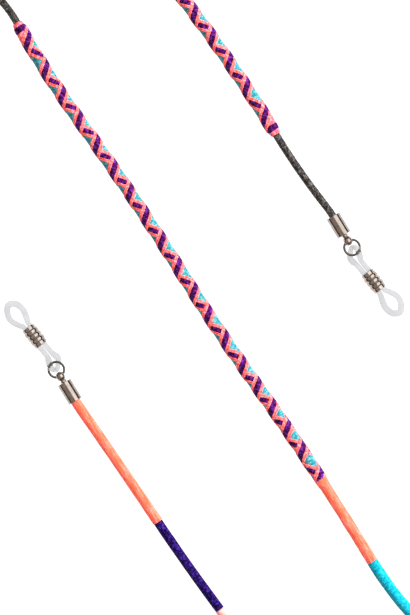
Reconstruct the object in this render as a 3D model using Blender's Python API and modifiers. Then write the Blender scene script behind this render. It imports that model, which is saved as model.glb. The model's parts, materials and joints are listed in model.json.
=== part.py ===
"""Eyeglass retainer strap: one thread-wrapped cord with a spectacle connector at each end.

The strap lies flat in an S on the plane z = 0: a left strand, a hairpin bend, the middle strand,
a second hairpin bend and a right strand. Run it with Blender 4.5:

    blender --background --python part.py

Sizes in this file are millimetres and degrees. MM turns them into Blender's metres.
"""

import math

import bmesh
import bpy
from mathutils import Vector

MM = 0.001

# ---------------------------------------------------------------- driving dimensions

CORE_R = 1.0              # bare braided cord
WALL_GAP = 0.05           # between a wrap and what it is wound on
WOVEN_BASE_R = 1.38       # base winding under the ribbons
WOVEN_R = 1.78            # over the ribbons
FLEX_GAP = 0.8            # slot between two stiff lengths, where the cord bends
CORD_GAP = 0.6            # the same, where the cord is bare

# Outer radius of each plain thread wrap.
CORAL_LEFT_R = 1.3
PURPLE_R = 1.2
PINK_R = 1.3
TEAL_R = 1.48
CORAL_MIDDLE_R = 1.45

# Whipping at an end of a woven length, from the bare cord: a coral turn, then a purple one.
WHIP_CORAL = (1.0, 1.35)  # length, outer radius
WHIP_PURPLE = (1.3, 1.6)
WHIP_GAP = 0.1

# Headings are measured from -Y towards +X.
END_HEADING = 31.4        # axis of the right ferrule. The left one points the other way.
END_TIP = (35.03, 18.44)  # closed end of the right ferrule, from the middle of the strap
MIDDLE_TOP = (-46.78, 71.45)
MIDDLE_HEADING = 29.53

# Stretches of the hand-laid cord: (length, turn). Positive turns are anticlockwise.
LEFT_CORAL = ((3.0, 3.4), (33.6, -0.9))
LEFT_PURPLE = ((26.8, 2.8),)
MIDDLE_CORD = ((6.8, 12.0),)
MIDDLE_WOVEN = ((30.0, 6.2), (45.0, -3.8), (35.0, 3.6), (27.4, -2.6))
MIDDLE_CORAL = ((24.0, -1.5),)
MIDDLE_TEAL = ((15.5, 10.0),)
RIGHT_CORD = ((3.0, 6.9), (21.85, -6.9))
RIGHT_WOVEN = ((20.45, 2.8), (22.0, 3.6))
HIDDEN_WOVEN = 0.62       # share of the gentle arc of the upper bend that is woven

LONGEST_STEP = 12.0       # between two stations along the cord
SHARPEST_STEP = 11.0      # turn between two stations
CORD_SIDES = 12

# Connector, measured from the closed end of its ferrule along its axis.
AXIS_HEIGHT = 1.96
FERRULE_R = 1.85
FERRULE_BORE_R = 1.46
FERRULE_LENGTH = 5.5
FERRULE_END_WALL = 0.5
FERRULE_HOLE_R = 0.52
FERRULE_CHAMFER = 0.14
CORD_INSERT = 3.9         # how far the cord goes into the ferrule
WRAP_INSERT = 3.4

BALL_R = 1.225
BALL_OFFSET = 1.75
NECK_R = 0.62
COLLAR_R = 0.8
COLLAR_LENGTH = 0.42
STEM_R = 0.44
RIVET_R = 0.9
RIVET_LENGTH = 0.4
RUNNING_GAP = 0.06
EYE_HOLE_R = 0.42

RING_R = 1.95             # to the middle of the wire
RING_WIRE_R = 0.3

LOOP_HEADING = 7.5        # how far the temple loop is turned from its ferrule
BEAD_START = 7.19         # from the ring's centre along the loop
BEAD_ACROSS = -1.05       # the bead's axis, from the ring's centre
BEAD_LENGTH = 5.5
BEAD_BORE_R = 1.53
BEAD_COLLAR_R = 1.74
BEAD_COLLAR_LENGTH = 0.95
BEAD_RIB_R = 1.95
BEAD_GROOVE_R = 1.66
BEAD_RIBS = 3
BEAD_EDGE = 0.1

BAND_HALF_WIDTH = 0.8
BAND_HALF_HEIGHT = 0.75
BAND_CORNER = 0.42
BAND_STEPS = 3            # stations between two control points of the loop

# Control points of the temple loop's middle line: (along, across the bead's axis, height, size).
LOOP_TIP_SIDE = (
    (12.9, 0.74, 0.0, 0.86),
    (14.6, 1.45, 0.0, 0.92),
    (16.6, 2.2, 0.0, 0.95),
    (18.6, 1.75, 0.0, 1.0),
    (20.05, 0.25, 0.0, 1.05),
    (19.2, -1.35, 0.0, 1.05),
    (17.1, -1.9, 0.0, 1.05),
    (14.9, -1.35, 0.0, 1.0),
    (12.9, -0.74, 0.0, 0.86),
)
LOOP_RING_SIDE = (
    (7.3, -0.74, 0.0, 0.86),
    (5.4, -0.74, 0.0, 0.86),
    (3.7, -0.76, -0.05, 0.86),
    (2.7, -1.0, -0.66, 0.88),
    (1.75, -0.92, -1.1, 0.86),
    (0.95, -0.2, -1.04, 0.8),
    (0.35, 0.4, -0.62, 0.8),
    (0.05, 0.97, 0.0, 0.8),
    (0.35, 1.5, 0.62, 0.8),
    (1.0, 1.68, 1.02, 0.8),
    (1.95, 1.5, 1.1, 0.8),
    (2.9, 1.08, 0.6, 0.82),
    (3.8, 0.77, 0.03, 0.86),
    (5.4, 0.74, 0.0, 0.86),
    (7.3, 0.74, 0.0, 0.86),
)

# ---------------------------------------------------------------- materials

# Base colour, roughness, metallic value.
FINISHES = {
    "cord_charcoal": ((0.035, 0.032, 0.034), 0.55, 0.0),
    "thread_coral": ((0.95, 0.16, 0.09), 0.5, 0.0),
    "thread_purple": ((0.04, 0.006, 0.17), 0.5, 0.0),
    "thread_pink": ((0.93, 0.48, 0.42), 0.55, 0.0),
    "thread_teal": ((0.0, 0.42, 0.5), 0.5, 0.0),
    "metal_nickel": ((0.42, 0.38, 0.36), 0.22, 1.0),
    "silicone_clear": ((0.82, 0.84, 0.85), 0.35, 0.0),
}


def make_material(name):
    """The Principled material of one finish, named for the piece that wears it."""
    colour, roughness, metallic = FINISHES[name]
    material = bpy.data.materials.get(name) or bpy.data.materials.new(name)
    material.use_nodes = True
    shader = material.node_tree.nodes["Principled BSDF"]
    shader.inputs["Base Color"].default_value = (*colour, 1.0)
    shader.inputs["Roughness"].default_value = roughness
    shader.inputs["Metallic"].default_value = metallic
    if name == "silicone_clear":
        shader.inputs["Transmission Weight"].default_value = 0.6
    return material


# ---------------------------------------------------------------- scene helpers


def clear_scene():
    for obj in list(bpy.data.objects):
        bpy.data.objects.remove(obj, do_unlink=True)


def make_collection(name):
    collection = bpy.data.collections.new(name)
    bpy.context.scene.collection.children.link(collection)
    return collection


def place(obj, collection, parent=None, location=(0, 0, 0), rotation=(0, 0, 0)):
    """Link an object, hang it on its parent and place it there, in millimetres and degrees."""
    collection.objects.link(obj)
    obj.parent = parent
    obj.location = Vector(location) * MM
    obj.rotation_euler = [math.radians(angle) for angle in rotation]
    return obj


def add_pivot(name, collection, parent=None, location=(0, 0, 0), turn=0.0):
    """An empty on a joint's axis, which carries everything that the joint moves."""
    pivot = bpy.data.objects.new(name, None)
    pivot.empty_display_size = 2 * MM
    return place(pivot, collection, parent, location, (0, 0, turn))


def hide_as_guide(obj):
    obj.hide_render = True
    obj.display_type = "WIRE"


def smooth(mesh, sharp_angle=40):
    mesh.shade_smooth()
    mesh.set_sharp_from_angle(angle=math.radians(sharp_angle))


def turned_mesh(name, profile, closed):
    """A mesh of the profile's edges, (radius, height) pairs from the top down the outer side."""
    mesh = bpy.data.meshes.new(name)
    shape = bmesh.new()
    points = [shape.verts.new((radius * MM, 0, height * MM)) for radius, height in profile]
    for start, end in zip(points, points[1:]):
        shape.edges.new((start, end))
    if closed:
        shape.edges.new((points[-1], points[0]))
    shape.to_mesh(mesh)
    shape.free()
    return mesh


def turned(name, profile, closed, sides):
    """A turned piece: its profile with a Screw about the object's own Z axis."""
    obj = bpy.data.objects.new(name, turned_mesh(name, profile, closed))
    screw = obj.modifiers.new("turn", "SCREW")
    screw.steps = sides
    screw.render_steps = sides
    screw.use_merge_vertices = True
    screw.merge_threshold = 0.000001
    screw.use_smooth_shade = True
    return obj


def arc(radius, centre, first, last, count):
    """Points on an arc of a turned profile: angles from the axis' top, centre at a height."""
    angles = [first + (last - first) * i / count for i in range(count + 1)]
    return [
        (radius * math.sin(math.radians(a)), centre + radius * math.cos(math.radians(a)))
        for a in angles
    ]


# ---------------------------------------------------------------- the cord's middle line


def direction(heading):
    angle = math.radians(heading)
    return Vector((math.sin(angle), -math.cos(angle)))


def chord(heading, length, turn):
    """The straight line from the start of an arc to its end."""
    half = math.radians(turn) / 2
    shrink = math.sin(half) / half if abs(half) > 1e-9 else 1.0
    return direction(heading + turn / 2) * length * shrink


def follow(point, heading, stretches):
    """Where a run of stretches ends, and its heading there."""
    for length, turn in stretches:
        point = point + chord(heading, length, turn)
        heading += turn
    return point, heading


def reversed_run(stretches):
    """The same run of stretches, walked from its other end."""
    return tuple((length, -turn) for length, turn in reversed(stretches))


def run_length(stretches):
    return sum(length for length, _ in stretches)


def signed_angle(first, second):
    return math.atan2(first.cross(second), first.dot(second))


def arc_on(line, half):
    """The arc (length, turn) whose ends a line joins, given the angle between line and tangent."""
    return line.length * half / math.sin(half), math.degrees(2 * half)


def hairpin(start, start_heading, end, end_heading):
    """Two arcs that leave one point, arrive at the other and join smoothly between them."""
    leave, arrive = direction(start_heading), direction(end_heading)
    span = end - start
    sweep = span.dot(leave + arrive)
    spread = 2 * (1 - leave.dot(arrive))
    reach = (math.sqrt(sweep**2 + spread * span.length_squared) - sweep) / spread
    middle = (start + leave * reach + end - arrive * reach) / 2
    first, second = middle - start, end - middle
    return (
        arc_on(first, signed_angle(leave, first)),
        arc_on(second, signed_angle(second, arrive)),
    )


def halfway_round(heading):
    return heading + 180


class Centreline:
    """The whole cord from the left ferrule's mouth to the right one's, as arcs end to end."""

    def __init__(self):
        tip = Vector(END_TIP)
        mouth = tip - direction(END_HEADING) * FERRULE_LENGTH
        left = LEFT_CORAL + LEFT_PURPLE
        right = RIGHT_CORD + RIGHT_WOVEN
        middle_up = reversed_run(MIDDLE_WOVEN + MIDDLE_CORAL + MIDDLE_TEAL)
        middle_foot, foot_heading = follow(
            Vector(MIDDLE_TOP), MIDDLE_HEADING, MIDDLE_WOVEN + MIDDLE_CORAL + MIDDLE_TEAL
        )
        left_end, left_heading = follow(-mouth, END_HEADING, left)
        middle_end, end_heading = follow(
            Vector(MIDDLE_TOP), halfway_round(MIDDLE_HEADING), MIDDLE_CORD
        )
        right_end, right_heading = follow(mouth, halfway_round(END_HEADING), right)
        lower = hairpin(left_end, left_heading, middle_foot, halfway_round(foot_heading))
        upper = hairpin(middle_end, end_heading, right_end, halfway_round(right_heading))
        self.start = -mouth
        self.stretches = (
            left + lower + middle_up + MIDDLE_CORD + upper + reversed_run(right)
        )
        self.mark_places(lower, upper)
        self.stations = self.spaced_stations()

    def mark_places(self, lower, upper):
        """Distances along the cord where one covering gives way to the next."""
        self.coral_left_end = run_length(LEFT_CORAL)
        self.purple_end = self.coral_left_end + run_length(LEFT_PURPLE)
        self.bend_middle = self.purple_end + lower[0][0]
        self.teal_end = self.bend_middle + lower[1][0] + run_length(MIDDLE_TEAL)
        self.woven_start = self.teal_end + run_length(MIDDLE_CORAL)
        self.woven_end = self.woven_start + run_length(MIDDLE_WOVEN)
        upper_start = self.woven_end + run_length(MIDDLE_CORD)
        upper_end = upper_start + upper[0][0] + upper[1][0]
        self.short_start = upper_end - upper[1][0] * HIDDEN_WOVEN
        self.short_end = upper_end + run_length(RIGHT_WOVEN)
        self.length = upper_end + run_length(RIGHT_WOVEN) + run_length(RIGHT_CORD)
        self.flex = {
            "left_strand_flex": self.coral_left_end,
            "lower_bend_flex": self.bend_middle,
            "lower_strand_flex": self.woven_start,
            "upper_bend_flex": self.woven_end + 4.5,
            "short_strand_flex": self.short_start - 3.5,
            "right_strand_flex": self.short_end + 4.0,
        }
        self.heights = (
            (-CORD_INSERT, AXIS_HEIGHT),
            (0.0, AXIS_HEIGHT),
            (14.0, CORAL_LEFT_R),
            (self.coral_left_end, CORAL_LEFT_R),
            (self.purple_end, PINK_R),
            (self.bend_middle - 10, PINK_R),
            (self.bend_middle + 6, TEAL_R),
            (self.woven_start - 10, TEAL_R),
            (self.woven_start + 3, WOVEN_R),
            (self.woven_end, WOVEN_R),
            (self.woven_end + 18, CORE_R + 0.02),
            (self.short_start - 14, CORE_R + 0.02),
            (self.short_start + 3, WOVEN_R),
            (self.short_end, WOVEN_R),
            (self.length - 2, AXIS_HEIGHT),
            (self.length + CORD_INSERT, AXIS_HEIGHT),
        )

    def spaced_stations(self):
        """Every distance at which a cross-section stands. All layers share them, so none cross."""
        marks = {-CORD_INSERT, -WRAP_INSERT, 0.0, self.length, self.length + CORD_INSERT}
        at = 0.0
        for length, turn in self.stretches:
            steps = math.ceil(max(length / LONGEST_STEP, abs(turn) / SHARPEST_STEP))
            marks.update(at + length * i / steps for i in range(steps + 1))
            at += length
        for place_along in self.flex.values():
            marks.update((place_along - FLEX_GAP / 2, place_along + FLEX_GAP / 2))
            marks.update((place_along - CORD_GAP / 2, place_along + CORD_GAP / 2))
        marks.update(at for at, _ in self.heights)
        for layer_end in (self.purple_end, self.teal_end):
            marks.update((layer_end - WHIP_GAP / 2, layer_end + WHIP_GAP / 2))
        for cord_edge, inward in self.whipped_edges():
            marks.update(cord_edge + inward * edge for edge in whipping_edges())
        return merged(sorted(marks))

    def whipped_edges(self):
        """Where bare cord meets a whipping, and which way the whipping lies from there."""
        return ((self.woven_end, -1), (self.short_start, 1), (self.short_end, -1))

    def height(self, at):
        """Height of the middle line, eased between the listed places."""
        for (start, low), (end, high) in zip(self.heights, self.heights[1:]):
            if at <= end:
                share = max(0.0, (at - start) / (end - start))
                return low + (high - low) * share * share * (3 - 2 * share)
        return self.heights[-1][1]

    def point(self, at):
        """The middle line's place at a distance from the left ferrule's mouth."""
        spot, heading, left_over = self.start.copy(), END_HEADING, at
        if at < 0:
            spot = spot + direction(heading) * at
            return Vector((*spot, self.height(at)))
        for length, turn in self.stretches:
            if left_over <= length:
                spot = spot + chord(heading, left_over, turn * left_over / length)
                return Vector((*spot, self.height(at)))
            spot = spot + chord(heading, length, turn)
            heading += turn
            left_over -= length
        return Vector((*(spot + direction(heading) * left_over), self.height(at)))

    def between(self, first, last):
        """The stations from one place to another, both included."""
        inside = [at for at in self.stations if first + 0.02 < at < last - 0.02]
        return [self.point(at) for at in [first, *inside, last]]


def merged(marks, nearest=0.15):
    """Sorted marks without the ones that crowd the one before."""
    kept = [marks[0]]
    for mark in marks[1:]:
        if mark - kept[-1] > nearest:
            kept.append(mark)
    return kept


def whipping_edges():
    """Distances from the bare cord: coral turn's end, purple turn's ends, ribbons' end."""
    coral_end = WHIP_CORAL[0]
    purple_start = coral_end + WHIP_GAP
    purple_end = purple_start + WHIP_PURPLE[0]
    return coral_end, purple_start, purple_end, purple_end + WHIP_GAP


# ---------------------------------------------------------------- cord pieces


def cord_curve(name, points, origin, radius, sides):
    """A round length of cord along the points, with its own origin at its joint."""
    curve = bpy.data.curves.new(name, "CURVE")
    curve.dimensions = "3D"
    curve.twist_mode = "Z_UP"
    curve.bevel_depth = radius * MM
    curve.bevel_resolution = (sides - 4) // 2
    spline = curve.splines.new("POLY")
    spline.points.add(len(points) - 1)
    for target, point in zip(spline.points, points):
        target.co = (*((point - origin) * MM), 1.0)
    return bpy.data.objects.new(name, curve)


def solid_cord(name, points, origin):
    obj = cord_curve(name, points, origin, CORE_R, 8)
    obj.data.use_fill_caps = True
    return obj


def wound_tube(name, points, origin, inner, outer):
    """A hollow sleeve of wound thread: an open tube with a wall solidified inwards."""
    obj = cord_curve(name, points, origin, outer, CORD_SIDES)
    flat = math.cos(math.pi / CORD_SIDES)
    wall = obj.modifiers.new("wall", "SOLIDIFY")
    wall.thickness = (outer * flat - inner - WALL_GAP) * MM
    wall.offset = -1.0
    wall.use_even_offset = True
    return obj


# ---------------------------------------------------------------- connector pieces


def ferrule_cup(name):
    """Plain cup that holds the cord's end. Its closed end is at z = 0, its mouth below."""
    mouth = -FERRULE_LENGTH
    profile = [
        (FERRULE_HOLE_R, 0),
        (FERRULE_R - FERRULE_CHAMFER, 0),
        (FERRULE_R, -FERRULE_CHAMFER),
        (FERRULE_R, mouth + FERRULE_CHAMFER / 2),
        (FERRULE_R - FERRULE_CHAMFER / 2, mouth),
        (FERRULE_BORE_R, mouth),
        (FERRULE_BORE_R, -FERRULE_END_WALL),
        (FERRULE_HOLE_R, -FERRULE_END_WALL),
    ]
    return turned(name, profile, True, 20)


def ball_eye(name):
    """Drilled ball on a riveted stem. The ball's centre is the origin, the stem runs down."""
    neck_angle = 180 - math.degrees(math.asin(NECK_R / BALL_R))
    collar_back = -BALL_OFFSET + RUNNING_GAP
    collar_front = collar_back + COLLAR_LENGTH
    rivet_front = -BALL_OFFSET - FERRULE_END_WALL - RUNNING_GAP
    rivet_back = rivet_front - RIVET_LENGTH
    profile = [(0, BALL_R), *arc(BALL_R, 0, 22, neck_angle, 6)]
    profile += [
        (COLLAR_R, collar_front),
        (COLLAR_R, collar_back),
        (STEM_R, collar_back),
        (STEM_R, rivet_front),
        (RIVET_R, rivet_front),
        (RIVET_R, rivet_back),
        (0, rivet_back),
    ]
    return turned(name, profile, False, 16)


def eye_drill(name):
    """Flared drill for the ball's cross hole, so that the ring's wire can rock in it."""
    reach = BALL_R + 0.15
    heights = [reach * (1 - 2 * i / 8) for i in range(9)]
    flare = [(EYE_HOLE_R + RING_R - math.sqrt(RING_R**2 - h * h), h) for h in heights]
    profile = [(0, reach), *flare, (0, -reach)]
    drill = turned(name, profile, False, 12)
    hide_as_guide(drill)
    return drill


def slide_bead(name):
    """Barrel with two flat collars and rounded ribs between them, centred on the origin."""
    half = BEAD_LENGTH / 2
    shoulder = half - BEAD_COLLAR_LENGTH
    pitch = 2 * shoulder / BEAD_RIBS
    upper = [
        (BEAD_BORE_R, half),
        (BEAD_COLLAR_R - BEAD_EDGE, half),
        (BEAD_COLLAR_R, half - BEAD_EDGE),
        (BEAD_COLLAR_R, shoulder + BEAD_EDGE),
    ]
    ribs = []
    for i in range(BEAD_RIBS):
        crown = shoulder - pitch * (i + 0.5)
        ribs += [
            (BEAD_GROOVE_R, crown + pitch * 0.5),
            (BEAD_RIB_R - 0.07, crown + pitch * 0.3),
            (BEAD_RIB_R, crown),
            (BEAD_RIB_R - 0.07, crown - pitch * 0.3),
        ]
    ribs.append((BEAD_GROOVE_R, -shoulder))
    lower = [(radius, -height) for radius, height in reversed(upper)]
    return turned(name, upper + ribs + lower, True, 16)


def jump_ring(name):
    bpy.ops.mesh.primitive_torus_add(
        major_segments=28,
        minor_segments=8,
        major_radius=RING_R * MM,
        minor_radius=RING_WIRE_R * MM,
    )
    made = bpy.context.object
    mesh = made.data
    bpy.data.objects.remove(made)
    mesh.name = name
    smooth(mesh, 60)
    return bpy.data.objects.new(name, mesh)


def band_section(name):
    """Rounded rectangle that the temple loop's curve takes as its section."""
    curve = bpy.data.curves.new(name, "CURVE")
    curve.dimensions = "2D"
    spline = curve.splines.new("POLY")
    corners = ((1, 1, 0), (-1, 1, 90), (-1, -1, 180), (1, -1, 270))
    points = []
    for side, top, first in corners:
        centre_x = side * (BAND_HALF_WIDTH - BAND_CORNER)
        centre_y = top * (BAND_HALF_HEIGHT - BAND_CORNER)
        for angle in (first, first + 90):
            turn = math.radians(angle)
            points.append(
                (centre_x + BAND_CORNER * math.cos(turn), centre_y + BAND_CORNER * math.sin(turn))
            )
    spline.points.add(len(points) - 1)
    for target, (x, y) in zip(spline.points, reversed(points)):
        target.co = (x * MM, y * MM, 0, 1)
    spline.use_cyclic_u = True
    section = bpy.data.objects.new(name, curve)
    hide_as_guide(section)
    return section


def rounded_path(controls, steps):
    """A closed Catmull-Rom path through the control points."""
    path = []
    count = len(controls)
    for i in range(count):
        before, here, after, beyond = (Vector(controls[(i + k) % count]) for k in (-1, 0, 1, 2))
        for step in range(steps):
            t = step / steps
            path.append(
                here
                + (after - before) * (t / 2)
                + (before * 2 - here * 5 + after * 4 - beyond) * (t * t / 2)
                + (here * 3 - before - after * 3 + beyond) * (t * t * t / 2)
            )
    return path


def temple_loop(name, section):
    """Moulded band: a big loop for the temple, two legs for the bead, a small loop on the ring."""
    curve = bpy.data.curves.new(name, "CURVE")
    curve.dimensions = "3D"
    curve.twist_mode = "Z_UP"
    curve.bevel_mode = "OBJECT"
    curve.bevel_object = section
    path = rounded_path(LOOP_TIP_SIDE + LOOP_RING_SIDE, BAND_STEPS)
    spline = curve.splines.new("POLY")
    spline.points.add(len(path) - 1)
    for target, (along, across, height, size) in zip(spline.points, path):
        target.co = (along * MM, (across + BEAD_ACROSS) * MM, height * MM, 1.0)
        target.radius = size
    spline.use_cyclic_u = True
    return bpy.data.objects.new(name, curve)


# ---------------------------------------------------------------- assembly


class Strap:
    """Builds every piece under an empty for its joint."""

    def __init__(self):
        self.pieces = make_collection("eyeglass_retainer_strap")
        self.guides = make_collection("cutters_and_guides")
        self.line = Centreline()
        self.origin = add_pivot("strap_origin", self.pieces)
        self.section = place(band_section("band_section"), self.guides)
        self.spots = {"middle_strand": Vector((0, 0, 0))}
        self.pivots = {"middle_strand": self.origin}

    def add_cord_pivot(self, body, parent, joint):
        """An upright hinge in the slot where one stiff length of the cord meets the next."""
        spot = self.line.point(self.line.flex[joint])
        offset = spot - self.spots[parent]
        self.spots[body] = spot
        self.pivots[body] = add_pivot(joint, self.pieces, self.pivots[parent], offset)

    def put(self, obj, body, finish):
        obj.data.materials.append(make_material(finish))
        return place(obj, self.pieces, self.pivots[body])

    def core(self, name, body, first, last):
        points = self.line.between(first, last)
        self.put(solid_cord(name, points, self.spots[body]), body, "cord_charcoal")

    def sleeve(self, name, body, finish, ends, radii):
        points = self.line.between(*ends)
        self.put(wound_tube(name, points, self.spots[body], *radii), body, finish)

    def build_cord(self):
        line, half = self.line, CORD_GAP / 2
        flex = line.flex
        breaks = (
            ("core_left_end", "left_end", -CORD_INSERT, flex["left_strand_flex"]),
            ("core_left_bend", "left_bend", flex["left_strand_flex"], flex["lower_bend_flex"]),
            ("core_lower", "lower_strand", flex["lower_bend_flex"], flex["lower_strand_flex"]),
            ("core_middle", "middle_strand", flex["lower_strand_flex"], flex["upper_bend_flex"]),
            ("core_upper_bend", "upper_bend", flex["upper_bend_flex"], flex["short_strand_flex"]),
            ("core_short", "short_strand", flex["short_strand_flex"], flex["right_strand_flex"]),
            ("core_right_end", "right_end", flex["right_strand_flex"], line.length + CORD_INSERT),
        )
        for name, body, first, last in breaks:
            starts_free = first == -CORD_INSERT
            ends_free = last == line.length + CORD_INSERT
            self.core(
                name, body, first + (0 if starts_free else half), last - (0 if ends_free else half)
            )

    def build_wraps(self):
        line, half, seam = self.line, FLEX_GAP / 2, WHIP_GAP / 2
        self.sleeve(
            "coral_wrap_left",
            "left_end",
            "thread_coral",
            (-WRAP_INSERT, line.coral_left_end - half),
            (CORE_R, CORAL_LEFT_R),
        )
        self.sleeve(
            "purple_wrap",
            "left_bend",
            "thread_purple",
            (line.coral_left_end + half, line.purple_end - seam),
            (CORE_R, PURPLE_R),
        )
        self.sleeve(
            "pink_wrap",
            "left_bend",
            "thread_pink",
            (line.purple_end + seam, line.bend_middle - half),
            (CORE_R, PINK_R),
        )
        self.sleeve(
            "teal_wrap",
            "lower_strand",
            "thread_teal",
            (line.bend_middle + half, line.teal_end - seam),
            (CORE_R, TEAL_R),
        )
        self.sleeve(
            "coral_wrap_middle",
            "lower_strand",
            "thread_coral",
            (line.teal_end + seam, line.woven_start - half),
            (CORE_R, CORAL_MIDDLE_R),
        )

    def build_woven(self):
        line, half = self.line, FLEX_GAP / 2
        whipped = whipping_edges()[-1]
        long_ends = (line.woven_start + half, line.woven_end - whipped)
        short_ends = (line.short_start + whipped, line.short_end - whipped)
        lengths = (
            ("long", "middle_strand", *long_ends),
            ("short", "short_strand", *short_ends),
        )
        for label, body, first, last in lengths:
            self.sleeve(
                f"woven_base_{label}", body, "thread_teal", (first, last), (CORE_R, WOVEN_BASE_R)
            )
            self.sleeve(
                f"woven_ribbon_{label}",
                body,
                "thread_purple",
                (first, last),
                (WOVEN_BASE_R, WOVEN_R),
            )

    def build_whippings(self):
        places = zip(
            ("long_top", "short_top", "short_end"),
            ("middle_strand", "short_strand", "short_strand"),
            self.line.whipped_edges(),
        )
        coral_end, purple_start, purple_end, _ = whipping_edges()
        for label, body, (edge, inward) in places:
            purple = sorted((edge + inward * purple_start, edge + inward * purple_end))
            coral = sorted((edge, edge + inward * coral_end))
            self.sleeve(
                f"purple_whipping_{label}", body, "thread_purple", purple, (CORE_R, WHIP_PURPLE[1])
            )
            self.sleeve(
                f"coral_whipping_{label}", body, "thread_coral", coral, (CORE_R, WHIP_CORAL[1])
            )

    def build_end(self, side, body, tip, heading):
        """One connector: ferrule, swivelling ball eye, jump ring, temple loop and bead."""
        anchor = Vector((*tip, AXIS_HEIGHT)) - self.spots[body]
        end = add_pivot(f"{side}_end", self.pieces, self.pivots[body], anchor, heading - 90)
        along = (0, 90, 0)
        swivel = add_pivot(f"{side}_eye_swivel", self.pieces, end, (BALL_OFFSET, 0, 0))
        tilt = add_pivot(f"{side}_ring_tilt", self.pieces, swivel)
        swing = add_pivot(
            f"{side}_loop_swing", self.pieces, tilt, (RING_R, 0, 0), LOOP_HEADING
        )
        bead_middle = (BEAD_START + BEAD_LENGTH / 2, BEAD_ACROSS, 0)
        slide = add_pivot(f"{side}_bead_slide", self.pieces, swing, bead_middle)

        self.fit(ferrule_cup(f"{side}_ferrule_cup"), end, "metal_nickel", rotation=along)
        eye = self.fit(ball_eye(f"{side}_ball_eye"), swivel, "metal_nickel", rotation=along)
        drill = place(eye_drill(f"{side}_eye_drill"), self.guides, swivel, rotation=(90, 0, 0))
        hole = eye.modifiers.new("cross hole", "BOOLEAN")
        hole.operation = "DIFFERENCE"
        hole.object = drill
        ring_spot = (RING_R, 0, 0)
        self.fit(jump_ring(f"{side}_jump_ring"), tilt, "metal_nickel", location=ring_spot)
        self.fit(temple_loop(f"{side}_temple_loop", self.section), swing, "silicone_clear")
        self.fit(slide_bead(f"{side}_slide_bead"), slide, "metal_nickel", rotation=along)

    def fit(self, obj, pivot, finish, location=(0, 0, 0), rotation=(0, 0, 0)):
        obj.data.materials.append(make_material(finish))
        return place(obj, self.pieces, pivot, location, rotation)

    def build(self):
        self.add_cord_pivot("lower_strand", "middle_strand", "lower_strand_flex")
        self.add_cord_pivot("left_bend", "lower_strand", "lower_bend_flex")
        self.add_cord_pivot("left_end", "left_bend", "left_strand_flex")
        self.add_cord_pivot("upper_bend", "middle_strand", "upper_bend_flex")
        self.add_cord_pivot("short_strand", "upper_bend", "short_strand_flex")
        self.add_cord_pivot("right_end", "short_strand", "right_strand_flex")
        self.build_cord()
        self.build_wraps()
        self.build_woven()
        self.build_whippings()
        tip = Vector(END_TIP)
        self.build_end("left", "left_end", -tip, halfway_round(END_HEADING))
        self.build_end("right", "right_end", tip, END_HEADING)
        self.centre_on_table()

    def centre_on_table(self):
        """Move the strap so that the middle of its box's base is the world's origin."""
        bpy.context.view_layer.update()
        depsgraph = bpy.context.evaluated_depsgraph_get()
        corners = []
        for obj in self.pieces.objects:
            if obj.type == "EMPTY":
                continue
            ready = obj.evaluated_get(depsgraph)
            mesh = ready.to_mesh()
            corners += [ready.matrix_world @ vertex.co for vertex in mesh.vertices]
            ready.to_mesh_clear()
        low = [min(corner[axis] for corner in corners) for axis in range(3)]
        high = [max(corner[axis] for corner in corners) for axis in range(3)]
        self.origin.location = (-(low[0] + high[0]) / 2, -(low[1] + high[1]) / 2, -low[2])
        bpy.context.view_layer.update()


def main():
    clear_scene()
    Strap().build()


main()
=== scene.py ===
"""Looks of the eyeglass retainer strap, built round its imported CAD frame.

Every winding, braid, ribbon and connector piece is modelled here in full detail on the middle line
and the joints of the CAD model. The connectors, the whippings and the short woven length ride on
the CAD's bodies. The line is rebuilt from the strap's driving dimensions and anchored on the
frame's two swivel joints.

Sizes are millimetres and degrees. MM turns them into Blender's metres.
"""

import json
import math

import bpy
import numpy as np
from mathutils import Matrix, Vector


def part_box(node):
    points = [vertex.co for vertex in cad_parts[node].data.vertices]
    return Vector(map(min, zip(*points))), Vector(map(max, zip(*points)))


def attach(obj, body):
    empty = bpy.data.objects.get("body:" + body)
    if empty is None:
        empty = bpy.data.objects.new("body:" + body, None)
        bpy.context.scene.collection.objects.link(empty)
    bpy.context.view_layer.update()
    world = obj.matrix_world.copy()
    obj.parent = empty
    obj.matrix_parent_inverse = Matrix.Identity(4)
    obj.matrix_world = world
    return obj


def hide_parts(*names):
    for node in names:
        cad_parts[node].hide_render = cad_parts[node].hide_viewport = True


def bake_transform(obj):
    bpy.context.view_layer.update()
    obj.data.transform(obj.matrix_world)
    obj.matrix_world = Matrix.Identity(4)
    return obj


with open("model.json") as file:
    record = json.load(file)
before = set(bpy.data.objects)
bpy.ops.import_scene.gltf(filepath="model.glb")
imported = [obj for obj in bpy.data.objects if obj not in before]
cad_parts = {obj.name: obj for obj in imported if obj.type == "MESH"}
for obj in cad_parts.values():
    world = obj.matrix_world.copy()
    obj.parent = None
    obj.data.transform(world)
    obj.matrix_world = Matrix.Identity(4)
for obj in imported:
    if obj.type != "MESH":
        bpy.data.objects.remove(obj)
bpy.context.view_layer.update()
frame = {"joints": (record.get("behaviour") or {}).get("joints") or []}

MM = 0.001
TURN = 2 * math.pi

# -------------------- layout, as in the CAD model

AXIS_HEIGHT = 1.96
END_HEADING = 31.4        # headings are measured from -Y towards +X
END_TIP = (35.03, 18.44)
FERRULE_LENGTH = 5.5
BALL_OFFSET = 1.75
CORD_INSERT = 3.9
WRAP_INSERT = 3.4
MIDDLE_TOP = (-46.78, 71.45)
MIDDLE_HEADING = 29.53

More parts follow.
